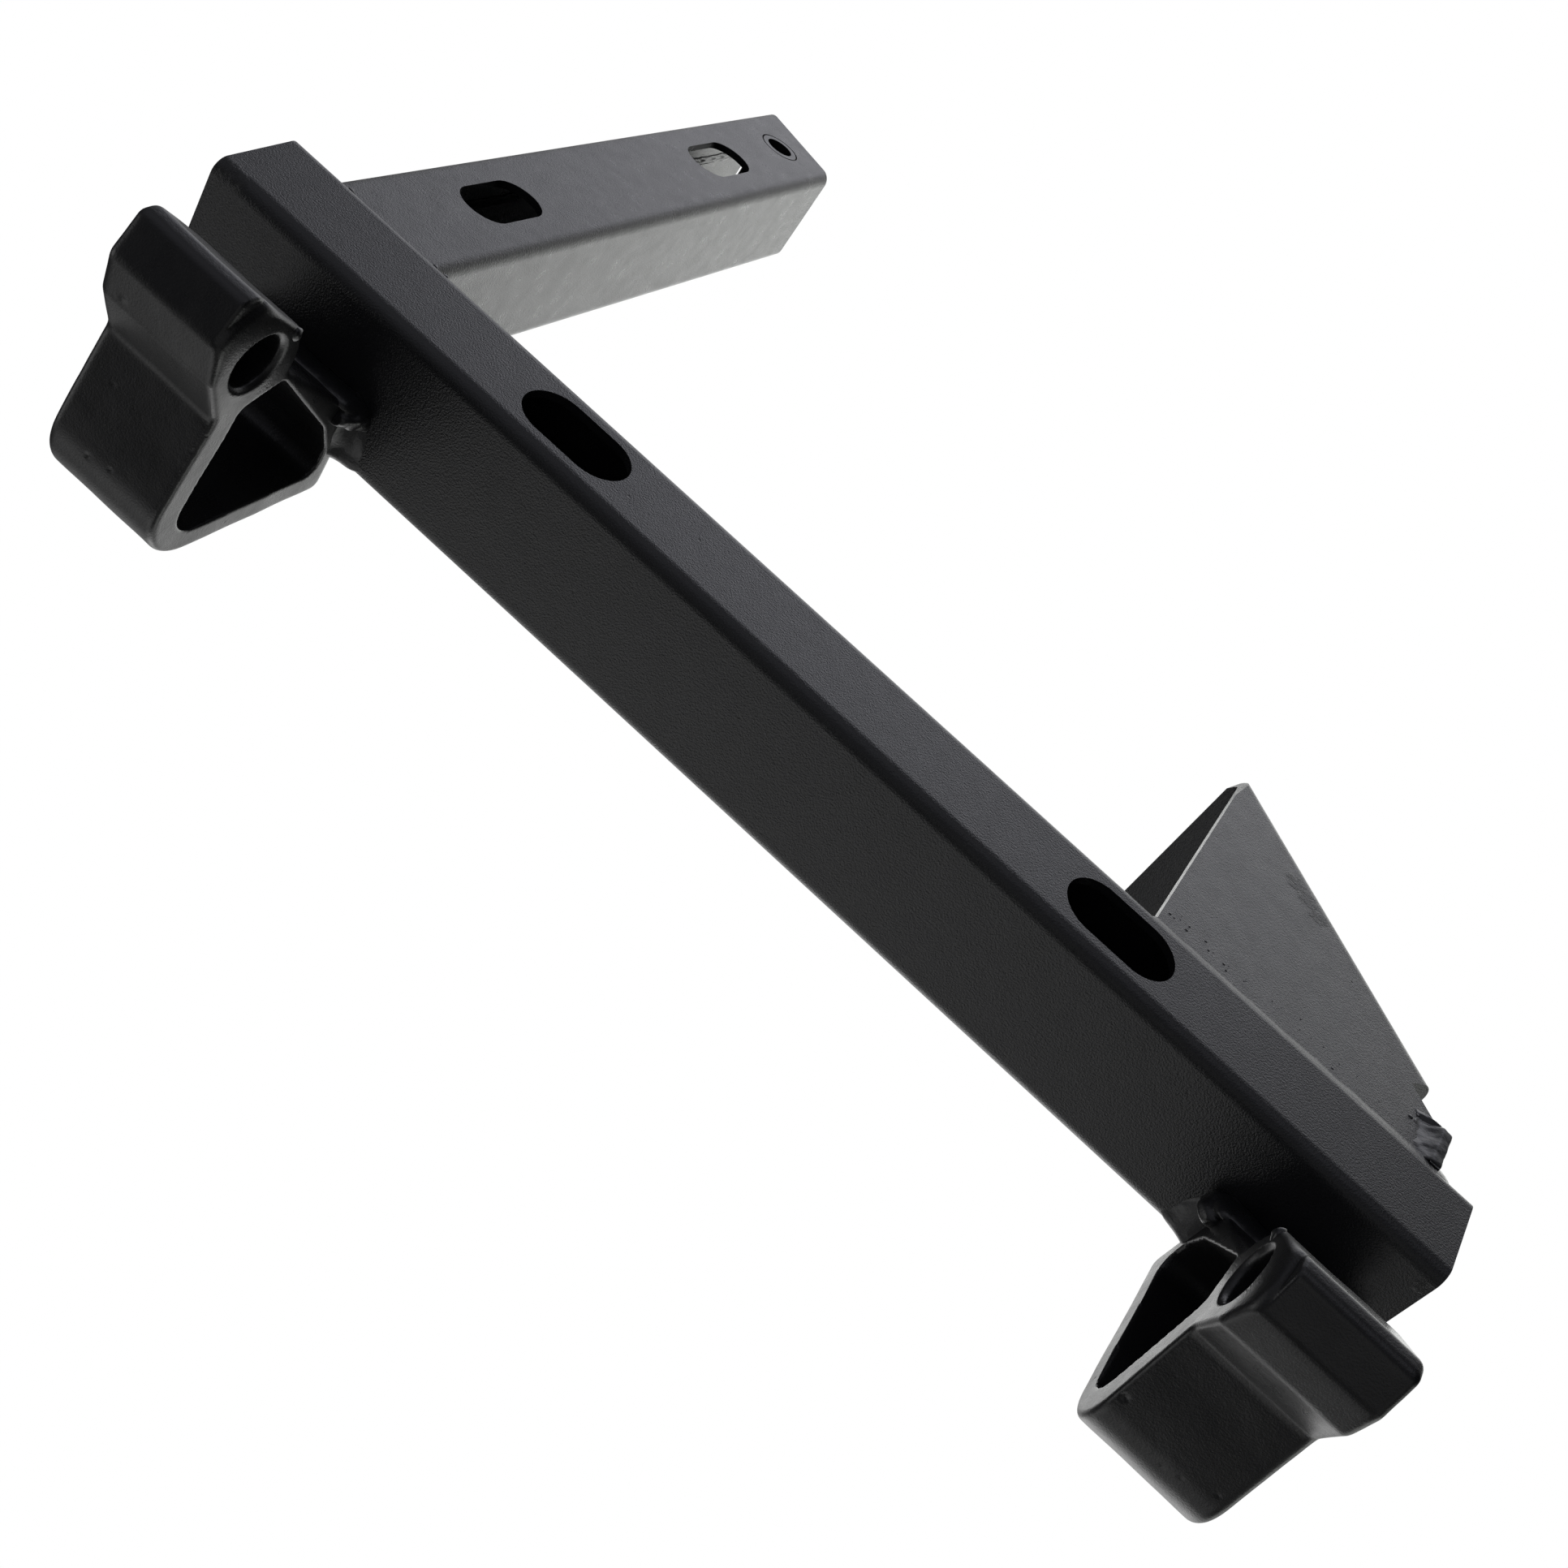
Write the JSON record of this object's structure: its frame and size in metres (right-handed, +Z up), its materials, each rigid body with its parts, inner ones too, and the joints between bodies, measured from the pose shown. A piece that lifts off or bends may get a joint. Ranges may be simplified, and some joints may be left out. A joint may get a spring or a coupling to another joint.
{
  "type": "hitch cross-member weldment",
  "caption": "Coated steel hitch cross-member: slotted rectangular beam, long slotted side arm, formed gusset and cast pivot lugs on the front.",
  "frame": {"origin": "centre of the beam's flat top face", "axes": "+X along the beam towards the gusset end, +Y back from the beam towards the arm's free end, +Z up, out of the beam's top face; the lugs stand on the -Y face"},
  "size_m": [0.775, 0.767, 0.1892],
  "materials": {
    "coated_tube": "satin black powder coat over tube steel",
    "coated_plate": "satin black powder coat over formed plate",
    "coated_sleeve": "satin black powder coat over a steel sleeve",
    "coated_weld": "satin black powder coat over rippled weld metal",
    "coated_casting": "satin black powder coat over rough cast steel"
  },
  "bodies": {
    "root": {"cross_beam": "coated_tube", "arm": "coated_tube", "arm_crush_sleeve": "coated_sleeve", "arm_top_weld": "coated_weld", "arm_bottom_weld": "coated_weld", "arm_outer_weld": "coated_weld", "arm_inner_weld": "coated_weld", "gusset": "coated_plate", "gusset_end_plate": "coated_plate", "gusset_top_weld": "coated_weld", "gusset_end_weld": "coated_weld", "end_plate_inner_weld": "coated_weld", "end_plate_outer_weld": "coated_weld", "left_lug": "coated_casting", "right_lug": "coated_casting", "left_lug_top_weld": "coated_weld", "left_lug_inner_weld": "coated_weld", "left_lug_outer_weld": "coated_weld", "left_lug_under_weld": "coated_weld", "right_lug_top_weld": "coated_weld", "right_lug_inner_weld": "coated_weld", "right_lug_outer_weld": "coated_weld", "right_lug_under_weld": "coated_weld"}
  },
  "joints": []
}
